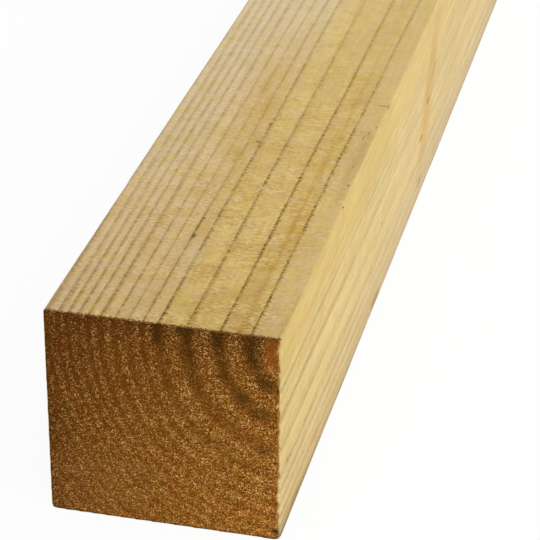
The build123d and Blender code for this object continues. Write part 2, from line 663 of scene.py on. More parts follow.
def marked(tree, read, colour, marks):
    """A colour with marks laid over it. Each is a soft oval at its own place, some leaning."""
    for (across, along, up), half_sizes, lean, strength, code in marks:
        leaning = node(tree, "Math", {0: read["Z"], 1: up * MM + LOW[2]}, operation="SUBTRACT")
        leaning = node(tree, "Math", {0: leaning, 1: -lean, 2: read["Y"]}, operation="MULTIPLY_ADD")
        spot = node(tree, "CombineXYZ", {0: read["X"], 1: leaning, 2: read["Z"]})
        centre = [across * MM, along * MM + LOW[1], up * MM + LOW[2]]
        spot = node(tree, "VectorMath", {0: spot, 1: centre}, operation="SUBTRACT")
        scale = [1 / (size * MM) for size in half_sizes]
        spot = node(tree, "VectorMath", {0: spot, 1: scale}, operation="MULTIPLY")
        far = node(tree, "VectorMath", {0: spot}, "Value", operation="LENGTH")
        far = node(tree, "Math", {0: read["ragged"], 1: MARK_RAGGED, 2: far}, operation="MULTIPLY_ADD")
        oval = node(tree, "MapRange", {0: far, 1: MARK_GONE, 2: MARK_FULL, 3: 0.0, 4: strength},
                    interpolation_type="SMOOTHSTEP")
        colour = node(tree, "Mix", {0: oval, 6: colour, 7: linear(code)}, 2, data_type="RGBA")
    return colour


print("a mark is gone at about", round(MARK_GONE - MARK_RAGGED / 2, 2), "of its half size")

# %% [markdown]
# ## Sawn softwood, side grain
# The long faces are treated softwood, fresh from the saw and matt. The eye sees pale early wood, thin brown
# late wood lines, soft on both sides, ochre patches from the treatment, and a fuzz of fibres that the saw
# teeth pulled across the grain. A wave texture would give even lines, so the lines are made from the ring
# count on the points instead. The rough top and the finer sides are one wood, so the same functions make
# both, from two sets of values.

# %% Values of the two sawn finishes
SAWN_PATTERNS_MM = {
    "ragged": (1.0, 3.0, 1.0, 2.0),
    "breaks": (4.0, 2.2, 4.0, 2.0),
    "teeth": (1.6, 0.6, 1.6, 0.0),
    "teeth_patches": (7.0, 9.0, 7.0, 1.0),
    "threads": (6.0, 2.0, 6.0, 2.5),
    "crinkle": (1.6, 0.7, 1.6, 2.0),
    "fuzz_patches": (14.0, 12.0, 14.0, 2.0),
    "ochre": (13.0, 8.0, 13.0, 3.0),
    "flame": (3.5, 60.0, 3.5, 2.0),
    "fibre": (0.45, 14.0, 0.45, 2.0),
    "streaks": (1.4, 45.0, 1.4, 2.0),
    "tone": (24.0, 70.0, 24.0, 1.0),
    "hues": (5.0, 6.0, 5.0, 2.0),
    "creep": (0.55, 0.8, 0.55, 2.0),
}
ROUGH_SAWN = {
    "name": "rough_sawn_softwood",
    "narrow_early": "d2b88b", "wide_early": "dcc180", "heart_early": "d6ba80",
    "narrow_away": "dccba9", "wide_away": "e2c98c",
    # the colour of the torn dashes is partly stain and partly painted shade
    "ochre": "b48a38", "late": "8a6426", "torn_stain_and_shade": "66460a", "thread": "ae8232",
    "line_width": 1.0, "line_edge": 0.6, "ragged": 0.2,
    "line": 0.78, "line_away": 0.44, "line_along": 0.1, "dashes": 0.5, "fade": 0.1,
    "teeth": 0.95, "fuzz": 0.22, "threads": 0.45, "hues": 0.5, "ochre_most": 0.75, "heart_ochre": 0.9,
    "near_shade": 0.91, "creep": 0.9, "darker_foot": 0.0, "relief": 1.0, "fibre": 0.05, "streaks": 0.03,
}
FINE_SAWN = {
    "name": "fine_sawn_softwood",
    "narrow_early": "d2bb8c", "wide_early": "d9c38b", "heart_early": "d4ba7a",
    "narrow_away": "cebb95", "wide_away": "d4be8d",
    # the colour of the torn dashes is partly stain and partly painted shade
    "ochre": "c49c50", "late": "a48a52", "torn_stain_and_shade": "7a5a28", "thread": "ae8232",
    "line_width": 2.6, "line_edge": 1.6, "ragged": 0.6,
    "line": 0.6, "line_away": 0.2, "line_along": 0.2, "dashes": 0.2, "fade": 0.15,
    "teeth": 0.25, "fuzz": 0.1, "threads": 0.0, "hues": 0.0, "ochre_most": 0.5, "heart_ochre": 2.0,
    "near_shade": 0.97, "creep": 0.0, "darker_foot": 1.0, "relief": 0.4, "fibre": 0.07, "streaks": 0.08,
}
print(len(SAWN_PATTERNS_MM), "patterns for", ROUGH_SAWN["name"], "and", FINE_SAWN["name"])

# %% Shares of the sawn finishes
# how high and how much the sides get darker towards the foot
DARKER_FOOT_HEIGHT_MM, DARKER_FOOT_SHADE = 12.0, 0.13
OCHRE_KEPT = 0.42


def sawn_shares(finish):
    """What a sawn finish takes from what it reads. Distances from the end are in metres, widths in mm."""
    most = finish["ochre_most"]
    return {
        # the saw tore more near the cut ends
        "near": ("from_end", 0.12, 0.25, 1.0, 0.2),
        # late wood lines: broken here and there, weaker away from the ends, with a slow rise before them
        "broken": ("breaks", 0.38, 0.6, 1 - finish["dashes"], 1.15),
        "weaker": ("from_end", 0.01, finish["line_along"], finish["line"], finish["line_away"]),
        "fade": ("phase", 0.45, 1.0, 0.0, finish["fade"]),
        # saw teeth: how far each reaches across the line in mm, and where they bit most
        "tooth_reach": ("teeth", 0.4, 0.68, -0.25, 1.1),
        "wide": ("ring_width", 4.5, 6.5, 0.25, 1.0),
        "torn_patches": ("teeth_patches", 0.38, 0.56, 0.3, 1.0),
        # early wood: yellower in wide rings, of its own colour in the heart, and in pink and straw patches
        "yellow": ("ring_width", 3.5, 8.5),
        "away": ("from_end", 0.03, 0.3),
        "heart": ("ring_count", 2.0, 1.25),
        "pink": ("hues", 0.5, 0.68, 0.0, finish["hues"]),
        "straw": ("hues", 0.52, 0.32, 0.0, finish["hues"]),
        # ochre: clouds across the grain, flames along it, and a steady streak in one ring
        "cloud": ("ochre", 0.42, 0.64, 0.3, 1.0),
        "flames": ("flame", 0.42, 0.66, 0.0, 0.9),
        "steady": ("ring_ochre", 0.75, 1.0),
        "varied": ("ochre", 0.35, 0.6, 0.65, 1.15),
        "hearty": ("heart", 0.0, 1.0, 1.0, finish["heart_ochre"]),
        "staying": ("from_end", 0.06, 0.24, most, most * OCHRE_KEPT),
        # fuzz: in patches, hairier where the wood is ochre; its light and dark is partly the fibres' own tone
        # and partly painted light and shade of the crinkles
        "fuzzy": ("fuzz_patches", 0.4, 0.6, 0.4, 1.0),
        "hairy": ("ring_ochre", 0.2, 0.6, 0.3, 1.0),
        "fuzz": ("crinkle", 0.3, 0.7, -finish["fuzz"], finish["fuzz"]),
        "raised": ("from_end", 0.0, 0.04, 1.7, 1.0),
        "settled": ("heart", 0.0, 1.0, 1.0, 0.45),
        # shade: fibres and streaks along the grain, broad tones, darker near the ends and along the foot
        "fibres": ("fibre", 0.3, 0.7, 1 - finish["fibre"], 1 + finish["fibre"]),
        "streaked": ("streaks", 0.3, 0.7, 1 - finish["streaks"], 1 + finish["streaks"]),
        "toned": ("tone", 0.3, 0.7, 0.97, 1.03),
        "nearer": ("from_end", 0.0, 0.04, finish["near_shade"], 1.0),
        "lower": ("Z", 0.0, DARKER_FOOT_HEIGHT_MM * MM, 1 - DARKER_FOOT_SHADE * finish["darker_foot"], 1.0),
        # painted shade in the nicks, deeper where they are deeper
        "nick_shade": ("nick_depth", 0.08, 0.4, 0.0, 0.8),
    }


print(len(sawn_shares(ROUGH_SAWN)), "shares")

# %% [markdown]
# ## Late wood and early wood
# Late wood closes each year with a dense brown edge. On a sawn face that is a line, and where the saw pulled
# short bundles out of it, dark dashes cross it, partly stain and partly painted shade in the torn pits. Early
# wood fills the rest. A colour ramp over the ring would be simpler, but it couldn't keep the lines equally
# thin in wide and narrow rings, so the line is measured in millimetres from the edge of its ring.

# %% Late wood lines and saw teeth
TOOTH_BEYOND = 2.5
TOOTH_FROM_MM, TOOTH_FULL_MM = -0.1, 0.3


def late_wood(tree, read, finish):
    """How strong the late wood is: a line at the edge of each ring, soft on both sides, and a rise to it."""
    reach = node(tree, "Math", {0: read["ring_line"], 1: finish["line_width"]}, operation="MULTIPLY")
    line, edge = (
        node(tree, "MapRange", {0: read[side], 1: width, 2: 0.0}, interpolation_type="SMOOTHSTEP")
        for side, width in (("inside", reach), ("outside", finish["line_edge"])))
    line = node(tree, "Math", {0: line, 1: edge}, operation="MAXIMUM")
    for share in ("broken", "weaker"):
        line = node(tree, "Math", {0: line, 1: read[share]}, operation="MULTIPLY")
    late = node(tree, "Math", {0: line, 1: read["fade"]}, operation="MAXIMUM")
    return node(tree, "Math", {0: late, 1: read["ring_darkness"]}, operation="MULTIPLY")


def torn_teeth_stain_and_shade(tree, read, finish):
    """Short dark dashes across the lines, where the saw pulled fibres out of the late wood, partly stain and
    partly painted shade in the pits.
    """
    beyond = node(tree, "Math", {0: read["outside"], 1: TOOTH_BEYOND}, operation="MULTIPLY")
    nearest = node(tree, "Math", {0: read["inside"], 1: beyond}, operation="MINIMUM")
    tooth = node(tree, "Math", {0: read["tooth_reach"], 1: nearest}, operation="SUBTRACT")
    teeth = node(tree, "MapRange", {
        0: tooth, 1: TOOTH_FROM_MM, 2: TOOTH_FULL_MM, 3: 0.0, 4: finish["teeth"]})
    for share in ("wide", "torn_patches", "near", "ring_darkness"):
        teeth = node(tree, "Math", {0: teeth, 1: read[share]}, operation="MULTIPLY")
    return teeth


print("teeth reach", TOOTH_BEYOND, "times less far beyond the ring than into it")

# %% Early wood
PINK, STRAW = "d8b890", "d2b864"


def early_wood(tree, read, finish):
    """The early wood: yellower in wide rings, paler away from the ends, with small pink and straw patches."""
    narrow, wide = (
        node(tree, "Mix", {
            0: read["away"], 6: linear(finish[width + "_early"]), 7: linear(finish[width + "_away"])},
            2, data_type="RGBA")
        for width in ("narrow", "wide"))
    early = node(tree, "Mix", {0: read["yellow"], 6: narrow, 7: wide}, 2, data_type="RGBA")
    for share, code in (("heart", finish["heart_early"]), ("pink", PINK), ("straw", STRAW)):
        early = node(tree, "Mix", {0: read[share], 6: early, 7: linear(code)}, 2, data_type="RGBA")
    return early


print("patches of", PINK, "and", STRAW)

# %% [markdown]
# ## Treatment, fibres, edges and painted shade in the nicks
# The treatment left ochre in clouds and flames, the saw left fine brown threads of pulled fibre, and brown
# creeps round the torn edge from the cut end. The nicks get painted shade, and a grey-brown line runs along
# the foot. Each is a share from 0 to 1 that is laid over the wood, rather than a picture, so its size stays
# real wherever the beam is seen from.

# %% Ochre, threads and shade
THREAD_MIDDLE, THREAD_GONE, THREAD_FULL = 0.5, 0.08, 0.02


def ochre_share(tree, read):
    """Ochre in patches across the grain and flames along it, with a steady streak in one ring."""
    steady = node(tree, "Math", {0: read["steady"], 1: read["varied"]}, operation="MULTIPLY")
    ochre = node(tree, "Math", {0: read["cloud"], 1: read["flames"]}, operation="MAXIMUM")
    ochre = node(tree, "Math", {0: ochre, 1: steady}, operation="MAXIMUM")
    for share in ("ring_ochre", "hearty", "staying"):
        ochre = node(tree, "Math", {0: ochre, 1: read[share]}, operation="MULTIPLY")
    return ochre


def pulled_threads(tree, read, finish, fuzzy):
    """Fine threads, which lie where a pattern crosses its middle."""
    ridge = node(tree, "Math", {0: read["threads"], 1: THREAD_MIDDLE}, operation="SUBTRACT")
    ridge = node(tree, "Math", {0: ridge}, operation="ABSOLUTE")
    threads = node(tree, "MapRange", {
        0: ridge, 1: THREAD_GONE, 2: THREAD_FULL, 3: 0.0, 4: finish["threads"]})
    for share in (fuzzy, read["hairy"]):
        threads = node(tree, "Math", {0: threads, 1: share}, operation="MULTIPLY")
    return threads


def fibre_shade(tree, read, fuzzy):
    """Light and dark of the fibres along the grain and of the fuzz across it. The fuzz's is partly its own
    tone and partly painted light and shade of its crinkles.
    """
    fuzz = read["fuzz"]
    for share in ("raised", "settled"):
        fuzz = node(tree, "Math", {0: fuzz, 1: read[share]}, operation="MULTIPLY")
    shade = node(tree, "Math", {0: fuzz, 1: fuzzy, 2: 1.0}, operation="MULTIPLY_ADD")
    for share in ("fibres", "toned", "nearer", "streaked", "lower"):
        shade = node(tree, "Math", {0: shade, 1: read[share]}, operation="MULTIPLY")
    return shade


print("threads about", SAWN_PATTERNS_MM["threads"][1], "mm apart along the grain")

# %% Dirt along the edges
CREEP_SWING_MM, CREEP_START_MM, CREEP_EDGE_MM = 3.6, -1.05, 0.2
# a thin grey-brown line along the very foot of the sides
FOOT_LINE_HEIGHT_MM, FOOT_LINE_RAGGED_MM, FOOT_LINE_MOST = 0.9, 1.2, 0.7
# the brown that creeps round the torn edge, the painted shade in the nicks, and the grey-brown foot line
CREPT, NICK_SHADE, FOOT_LINE = "663e0e", "4a3012", "7c6c52"


def creep_nick_shade_and_foot_line(tree, read, finish, colour):
    """Brown creeps up to two millimetres round the torn edge, with painted shade in the nicks and a
    grey-brown line at the foot.
    """
    creep = node(tree, "Math", {0: read["creep"], 1: CREEP_SWING_MM * MM, 2: CREEP_START_MM * MM},
                 operation="MULTIPLY_ADD")
    edge = node(tree, "Math", {0: read["from_end"], 1: creep}, operation="SUBTRACT")
    crept = node(tree, "MapRange", {
        0: edge, 1: CREEP_EDGE_MM * MM, 2: -CREEP_EDGE_MM * MM, 3: 0.0, 4: finish["creep"]})
    foot_line = node(tree, "Math", {0: read["ragged"], 1: -FOOT_LINE_RAGGED_MM * MM, 2: read["Z"]},
                 operation="MULTIPLY_ADD")
    foot_line = node(tree, "MapRange", {
        0: foot_line, 1: FOOT_LINE_HEIGHT_MM * MM, 2: 0.0, 3: 0.0, 4: FOOT_LINE_MOST * finish["darker_foot"]})
    # lays the crept brown, the painted shade in the nicks and the foot line over the wood
    for share, code in ((crept, CREPT), (read["nick_shade"], NICK_SHADE), (foot_line, FOOT_LINE)):
        colour = node(tree, "Mix", {0: share, 6: colour, 7: linear(code)}, 2, data_type="RGBA")
    return colour


print("grime up to", round(FOOT_LINE_HEIGHT_MM + FOOT_LINE_RAGGED_MM, 1), "mm above the floor")

# %% A sawn face from its layers
WOOD_IOR = 1.53
FACE_SPECULAR = 0.05
CRINKLE_MM, FIBRE_MM, TOOTH_MM = 0.12, 0.05, -0.15
FACE_BUMP = 0.8
EARLY_ROUGHNESS, LATE_ROUGHNESS = 0.88, 0.75


def sawn_face(finish, marks):
    """One of the two finishes of the long faces, with its marks."""
    material, tree, read = start_finish(
        finish["name"], SAWN_PATTERNS_MM, finish["ragged"], sawn_shares(finish))
    fuzzy = node(tree, "Math", {0: read["fuzzy"], 1: read["near"]}, operation="MULTIPLY")
    late = late_wood(tree, read, finish)
    teeth = torn_teeth_stain_and_shade(tree, read, finish)
    threads = pulled_threads(tree, read, finish, fuzzy)
    # the torn dashes lay a colour that is partly stain and partly painted shade
    layers = {"ochre": ochre_share(tree, read), "thread": threads, "late": late, "torn_stain_and_shade": teeth}
    colour = early_wood(tree, read, finish)
    for layer, share in layers.items():
        over = linear(finish[layer])
        colour = node(tree, "Mix", {0: share, 6: colour, 7: over}, 2, data_type="RGBA")
    colour = marked(tree, read, colour, marks)
    shade = fibre_shade(tree, read, fuzzy)
    colour = node(tree, "VectorMath", {0: colour, "Scale": shade}, operation="SCALE")
    colour = creep_nick_shade_and_foot_line(tree, read, finish, colour)

    # Relief in millimetres, and late wood a little smoother than early wood
    height = node(tree, "Math", {0: read["crinkle"], 1: CRINKLE_MM * finish["relief"]}, operation="MULTIPLY")
    for part, depth in ((read["fibre"], FIBRE_MM), (teeth, TOOTH_MM)):
        height = node(tree, "Math", {0: part, 1: depth, 2: height}, operation="MULTIPLY_ADD")
    bump = node(tree, "Bump", {"Height": height, "Distance": MM, "Strength": FACE_BUMP})
    dull = node(tree, "MapRange", {0: late, 1: 0.0, 2: 1.0, 3: EARLY_ROUGHNESS, 4: LATE_ROUGHNESS})
    wood = node(tree, "BsdfPrincipled", {
        "Base Color": colour, "Roughness": dull, "IOR": WOOD_IOR, "Specular IOR Level": FACE_SPECULAR,
        "Normal": bump})
    node(tree, "OutputMaterial", {"Surface": wood})
    return material


print("bump of", CRINKLE_MM, "mm for the crinkles and", FIBRE_MM, "mm for the fibres")

# %% [markdown]
# ## Marks on the long faces
# Every length of timber has its own marks: here a short scar across the top near its right arris, fine
# splits, golden patches of treatment and dark torn spots in the rings, and on the right side a leaning brown
# stain with darker eyes. A few could be modelled, but they are flat, so each is a soft oval of colour.

# %% Marks on the top
TOP_MARK_DEPTH = 2.0
TOP_OVALS = [
    # across and from the near end, half sizes the same way, strength, colour
    (35.0, 172.8, 4.5, 0.7, 0.65, "8a6a34"),
    (34.5, 122.0, 3.2, 40.0, 0.28, "a2834a"),
    (-7.0, 155.0, 12.0, 110.0, 0.26, "c69c40"),
    (22.0, 230.0, 22.0, 140.0, 0.14, "b8903c"),
    (22.5, 26.0, 4.5, 36.0, 0.25, "a8823e"),
    (-2.4, 41.0, 4.2, 22.0, 0.3, "dcc598"),
    (-3.0, 133.0, 3.0, 9.0, 0.3, "b48c1c"),
    (-6.4, 124.0, 3.4, 12.0, 0.25, "b48c1c"),
    (-5.8, 163.0, 5.0, 14.0, 0.3, "b48c1c"),
    (-10.4, 182.0, 3.0, 16.0, 0.25, "b48c1c"),
    (-1.2, 147.0, 0.9, 1.6, 0.7, "7a5018"),
    (-1.8, 132.2, 1.3, 1.2, 0.6, "7a5018"),
    (33.3, 144.0, 0.35, 3.0, 0.5, "7a5a2a"),
    (34.6, 149.0, 0.35, 2.5, 0.5, "7a5a2a"),
    (35.8, 106.0, 0.4, 1.4, 0.6, "7a5a2a"),
    (36.2, 154.0, 0.4, 2.0, 0.5, "7a5a2a"),
    (34.4, 121.0, 0.35, 2.0, 0.5, "7a5a2a"),
    (-3.3, 64.0, 2.6, 9.0, 0.35, "c89c30"),
    (-5.7, 65.0, 0.7, 11.0, 0.5, "6a4812"),
    (-5.4, 58.0, 1.2, 2.2, 0.75, "6a4812"),
    (-5.5, 70.8, 1.1, 1.2, 0.8, "6a4812"),
    (18.6, 107.8, 1.6, 1.2, 0.6, "8a6022"),
]
top_marks = [
    ((across, along, HEIGHT), (wide, lengthways, TOP_MARK_DEPTH), 0.0, strength, code)
    for across, along, wide, lengthways, strength, code in TOP_OVALS
]
mesh.materials.append(sawn_face(ROUGH_SAWN, top_marks))
print(len(top_marks), "marks on", mesh.materials[ROUGH].name)

# %% Marks on the right side
SIDE_MARK_DEPTH = 20.0
SIDE_OVALS = [
    # from the near end and up, half sizes the same way, lean along a millimetre up, strength, colour
    (280.0, 63.0, 130.0, 16.0, 0.0, 0.15, "e6d0a8"),
    (262.0, 38.0, 17.0, 40.0, 0.5, 0.45, "c0944a"),
    (262.0, 36.5, 5.0, 2.2, 0.0, 0.6, "9a7a34"),
    (248.5, 25.5, 4.5, 2.0, 0.0, 0.5, "a07c3c"),
    (276.0, 46.5, 5.0, 2.0, 0.0, 0.4, "a88840"),
    (247.0, 7.0, 6.0, 3.0, 0.0, 0.45, "a4843c"),
    (90.5, 72.6, 1.0, 0.5, 0.0, 0.8, "5a3018"),
    (163.0, 30.0, 2.0, 0.6, 0.0, 0.6, "8a6436"),
    (9.5, 24.3, 3.0, 0.6, 0.0, 0.7, "7a5c30"),
    (13.0, 23.8, 2.0, 0.5, 0.0, 0.5, "7a5c30"),
    (32.5, 12.3, 1.8, 0.6, 0.0, 0.6, "7a5c30"),
    (88.0, 28.0, 2.5, 0.4, 0.0, 0.4, "a08050"),
    (50.0, 7.5, 9.0, 2.0, 0.0, 0.35, "a87c40"),
    (20.0, 3.0, 12.0, 2.0, 0.0, 0.4, "a0743a"),
    (24.0, 1.4, 45.0, 2.0, 0.0, 0.5, "7c5c34"),
    (155.0, 2.5, 12.0, 3.0, 0.0, 0.5, "9a7444"),
    (4.0, 0.8, 7.0, 1.4, 0.0, 0.8, "5a3c1c"),
]
side_marks = [
    ((WIDTH / 2, along, up), (SIDE_MARK_DEPTH, lengthways, high), lean, strength, code)
    for along, up, lengthways, high, lean, strength, code in SIDE_OVALS
]
mesh.materials.append(sawn_face(FINE_SAWN, side_marks))
print(len(side_marks), "marks on", mesh.materials[FINE].name)

# %% [markdown]
# ## Softwood end grain, stained by the treatment
# End grain drinks the treatment, so the cut ends are dark brown. They are darker towards the upper left.
# Broken fibre bundles under half a millimetre wide glint against dark pits. The late wood shows as broad,
# soft arcs, greenish black near the top edge in the wide rings, and red-brown in the narrow ones. An image of
# real end grain would be the quick way, but it would bring its own rings.

# %% Values of the end grain
BUNDLE_MM, BUNDLE_LENGTH_MM, BUNDLE_COARSER = 0.28, 20.0, 2.2
END_RAGGED_MM = 0.5
UPPER_FROM, UPPER_TO = HEIGHT - 30, HEIGHT - 4
END_PATTERNS_MM = {
    "ragged": (1.2, 20.0, 1.2, 2.0),
    "pits": (0.6, 20.0, 0.6, 1.0),
    "mottle": (2.2, 20.0, 2.2, 2.0),
    "patches": (7.0, 20.0, 7.0, 2.0),
    "hues": (3.4, 20.0, 3.4, 3.0),
    "rim": (1.4, 20.0, 1.4, 2.0),
}
END_SHARES = {
    # as for the faces: what is read, its range, and what that becomes
    # places: from the left edge to the right, and from the top edge down
    "across": ("X", -WIDTH / 2 * MM, WIDTH / 2 * MM),
    "below": ("Z", HEIGHT * MM, 0.0),
    # arcs: darker near the top edge, in patches and in wide rings, where they are greener too
    "upper": ("Z", UPPER_FROM * MM, UPPER_TO * MM, 0.45, 0.52),
    "patchy": ("patches", 0.35, 0.6, 0.6, 1.0),
    "roomy": ("ring_width", 3.5, 7.0, 0.8, 1.0),
    "wide": ("ring_width", 4.0, 8.0),
    # small changes of hue and shade
    "hue": ("hues", 0.35, 0.65),
    "mottled": ("mottle", 0.3, 0.7, 0.92, 1.08),
    # speckle: what stays of it in the arcs, then more in clusters, to the right and below the top edge
    "least": ("below", 0.3, 0.75, 0.35, 0.8),
    "clusters": ("mottle", 0.38, 0.58, 0.75, 1.1),
    "lively": ("across", 0.0, 1.0, 0.62, 1.15),
    "under": ("below", 0.0, 0.35, 0.7, 1.0),
    # painted shade in the nicks
    "nick_shade": ("nick_depth", 0.08, 0.4, 0.0, 0.65),
}
print("fibre bundles of", BUNDLE_MM, "and", round(BUNDLE_MM * BUNDLE_COARSER, 2), "mm")

# %% Arcs of late wood
ARC_GONE, ARC_FULL = 0.38, 0.08
CORE_GONE_MM, CORE_FULL_MM, CORE_MOST = 0.9, 0.2, 0.5


def end_arcs(tree, read):
    """The dark of the soft arcs, half a ring wide at most, with a thin line at their core, and their calm."""
    nearest = node(tree, "Math", {0: read["inside"], 1: read["outside"]}, operation="MINIMUM")
    share = node(tree, "Math", {0: nearest, 1: read["ring_width"]}, operation="DIVIDE")
    band = node(tree, "MapRange", {0: share, 1: ARC_GONE, 2: ARC_FULL}, interpolation_type="SMOOTHSTEP")
    core = node(tree, "MapRange", {0: nearest, 1: CORE_GONE_MM, 2: CORE_FULL_MM, 3: 0.0, 4: CORE_MOST})
    smooth, core = (
        node(tree, "Math", {0: part, 1: read["patchy"]}, operation="MULTIPLY")
        for part in (band, core))
    band = smooth
    for part in ("upper", "roomy"):
        band = node(tree, "Math", {0: band, 1: read[part]}, operation="MULTIPLY")
    return node(tree, "Math", {0: band, 1: core}, operation="MAXIMUM"), smooth


print("arcs darkest from", round(UPPER_TO), "mm up")

# %% Fibre bundles
RUDDY, OLIVE = (1.05, 0.94, 1.12, 1.0), (0.96, 1.05, 0.85, 1.0)
RED_BUNDLE, PIT, GLINT, BRIGHT_GLINT, PAINTED_SPARKLE = "8a4610", "2a0e00", "e6b058", "f2c67c", "e8c690"
FINE_SHARE, COARSE_SHARE = 0.8, 0.2
# Shades from which a bundle counts, the shade where it counts fully, and how strongly
RED_FROM, RED_FULL, RED_MOST = 0.4, 1.0, 0.3
PIT_FROM, PIT_FULL, PIT_MOST = 0.5, 0.1, 0.85
GLINT_FROM, GLINT_FULL, GLINT_POWER = 0.55, 0.96, 1.5
# painted sparkle: the brightest few fine bundles become small highlights
SPARKLE_FROM, SPARKLE_FULL, SPARKLE_MOST = 0.98, 0.995, 0.7
CALM_FROM, CALM_FULL = 0.1, 0.8


def bundle_shades(tree, read):
    """A random shade for each fine bundle, and two for each coarse one."""
    coarse_mm = BUNDLE_MM * BUNDLE_COARSER
    shades = []
    for bundle_mm, channel in ((BUNDLE_MM, "Red"), (coarse_mm, "Red"), (coarse_mm, "Green")):
        scale = [1 / (size * MM) for size in (bundle_mm, BUNDLE_LENGTH_MM, bundle_mm)]
        bundle = node(tree, "VectorMath", {0: read["place"], 1: scale}, operation="MULTIPLY")
        bundle = node(tree, "TexVoronoi", {"Vector": bundle, "Scale": 1.0}, out="Color")
        shades.append(node(tree, "SeparateColor", {0: bundle}, out=channel))
    return shades


def speckled(tree, read, colour, smooth):
    """Lays ruddy and olive tints, pits, golden glints and a few painted sparkle highlights on a colour, less
    in the arcs.
    """
    fine_shade, coarse_shade, red_shade = bundle_shades(tree, read)
    tint = node(tree, "Mix", {0: read["hue"], 6: RUDDY, 7: OLIVE}, 2, data_type="RGBA")
    colour = node(tree, "VectorMath", {0: colour, 1: tint}, operation="MULTIPLY")
    redder = node(tree, "MapRange", {0: red_shade, 1: RED_FROM, 2: RED_FULL, 3: 0.0, 4: RED_MOST})
    colour = node(tree, "Mix", {0: redder, 6: colour, 7: linear(RED_BUNDLE)}, 2, data_type="RGBA")
    colour = node(tree, "VectorMath", {0: colour, "Scale": read["mottled"]}, operation="SCALE")
    shade = node(tree, "Math", {0: coarse_shade, 1: COARSE_SHARE}, operation="MULTIPLY")
    shade = node(tree, "Math", {0: fine_shade, 1: FINE_SHARE, 2: shade}, operation="MULTIPLY_ADD")
    calm = node(tree, "MapRange", {0: smooth, 1: CALM_FROM, 2: CALM_FULL, 3: 1.0, 4: read["least"]})
    for part in ("clusters", "lively", "under"):
        calm = node(tree, "Math", {0: calm, 1: read[part]}, operation="MULTIPLY")
    pits = node(tree, "MapRange", {0: shade, 1: PIT_FROM, 2: PIT_FULL, 3: 0.0, 4: PIT_MOST})
    glints = node(tree, "MapRange", {0: shade, 1: GLINT_FROM, 2: GLINT_FULL})
    glints = node(tree, "Math", {0: glints, 1: GLINT_POWER}, operation="POWER")
    # painted sparkle highlights on the brightest fine bundles
    painted_sparkle = node(tree, "MapRange", {0: fine_shade, 1: SPARKLE_FROM, 2: SPARKLE_FULL, 3: 0.0, 4: SPARKLE_MOST})
    pits, glints, painted_sparkle = (
        node(tree, "Math", {0: part, 1: calm}, operation="MULTIPLY") for part in (pits, glints, painted_sparkle))
    spark = node(tree, "Mix", {0: glints, 6: linear(GLINT), 7: linear(BRIGHT_GLINT)}, 2, data_type="RGBA")
    for share, over in ((pits, linear(PIT)), (glints, spark), (painted_sparkle, linear(PAINTED_SPARKLE))):
        colour = node(tree, "Mix", {0: share, 6: colour, 7: over}, 2, data_type="RGBA")
    return colour, glints


print("tints", RUDDY[:3], "and", OLIVE[:3])

# %% Edges of an end
RIM_WIDTH_MM, RIM_EDGE_MM, RIM_MOST = 2.0, 0.3, 0.8
# painted shade in a thin band along the left and lower edges of each end
EDGE_SHADE_FROM_MM, EDGE_SHADE_FULL_MM, EDGE_SHADE_MOST = 0.7, 0.1, 0.7
RIM, EDGE_SHADE = "b9843c", "2a1604"


def edged(tree, read, colour):
    """A pale rim where the right edge is crushed, and painted shade along the left and lower edges and in the
    nicks.
    """
    half = WIDTH / 2 * MM
    from_right = node(tree, "Math", {0: half, 1: read["X"]}, operation="SUBTRACT")
    rim = node(tree, "Math", {0: read["rim"], 1: RIM_WIDTH_MM * MM}, operation="MULTIPLY")
    rim = node(tree, "Math", {0: rim, 1: from_right}, operation="SUBTRACT")
    rim = node(tree, "MapRange", {
        0: rim, 1: -RIM_EDGE_MM * MM, 2: RIM_EDGE_MM * MM, 3: 0.0, 4: RIM_MOST})
    # painted shade, darkest at the left and lower edges, joined by the painted shade in the nicks
    from_left = node(tree, "Math", {0: half, 1: read["X"]}, operation="ADD")
    from_edge = node(tree, "Math", {0: from_left, 1: read["Z"]}, operation="MINIMUM")
    edge_and_nick_shade = node(tree, "MapRange", {
        0: from_edge, 1: EDGE_SHADE_FROM_MM * MM, 2: EDGE_SHADE_FULL_MM * MM, 3: 0.0, 4: EDGE_SHADE_MOST})
    edge_and_nick_shade = node(tree, "Math", {0: edge_and_nick_shade, 1: read["nick_shade"]}, operation="MAXIMUM")
    for share, code in ((rim, RIM), (edge_and_nick_shade, EDGE_SHADE)):
        colour = node(tree, "Mix", {0: share, 6: colour, 7: linear(code)}, 2, data_type="RGBA")
    return colour


print("rim up to", RIM_WIDTH_MM, "mm wide")

